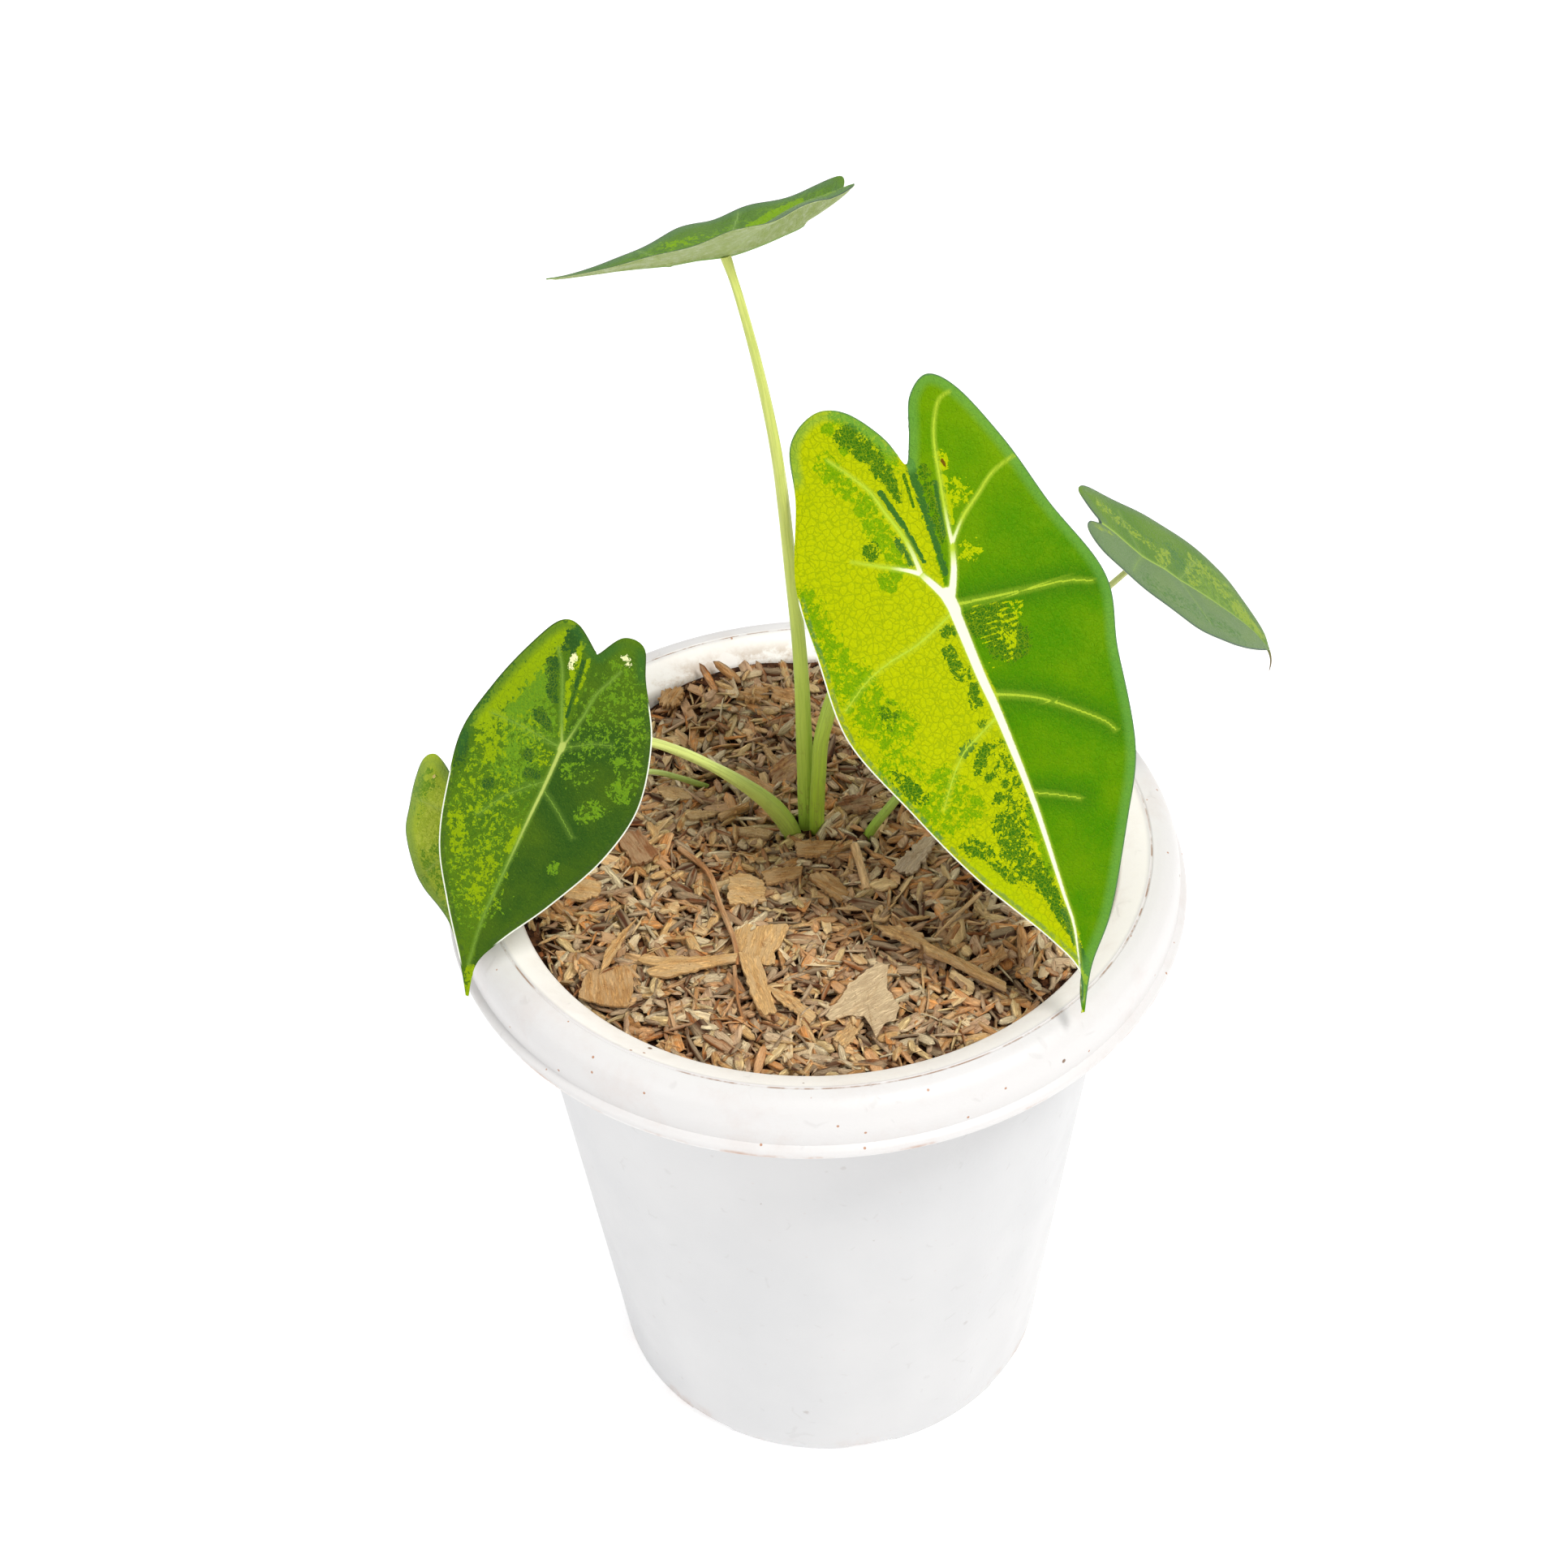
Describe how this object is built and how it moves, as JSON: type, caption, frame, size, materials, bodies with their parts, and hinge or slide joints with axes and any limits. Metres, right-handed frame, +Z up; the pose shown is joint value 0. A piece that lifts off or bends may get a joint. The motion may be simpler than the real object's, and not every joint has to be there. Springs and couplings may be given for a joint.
{
  "type": "alocasia frydek in a white plastic pot",
  "caption": "Young variegated alocasia with arrow-shaped leaves on slender stems, in a white plastic pot filled with bark and rice husks.",
  "frame": {"origin": "centre of the pot's flat underside, on the surface that it stands on", "axes": "+Z up, -Y towards the front, where the largest leaf faces, +X to the plant's right as seen from the front"},
  "size_m": [0.2357, 0.2072, 0.3953],
  "materials": {
    "pot_plastic": "satin",
    "substrate": "matte",
    "leaf": "satin",
    "stem": "satin"
  },
  "bodies": {
    "root": {"pot": "pot_plastic", "soil": "substrate", "leaf_front_blade": "leaf", "leaf_front_stem": "stem", "leaf_left_blade": "leaf", "leaf_left_stem": "stem", "leaf_top_blade": "leaf", "leaf_top_stem": "stem", "leaf_right_blade": "leaf", "leaf_right_stem": "stem", "leaf_small_blade": "leaf", "leaf_small_stem": "stem"}
  },
  "joints": []
}
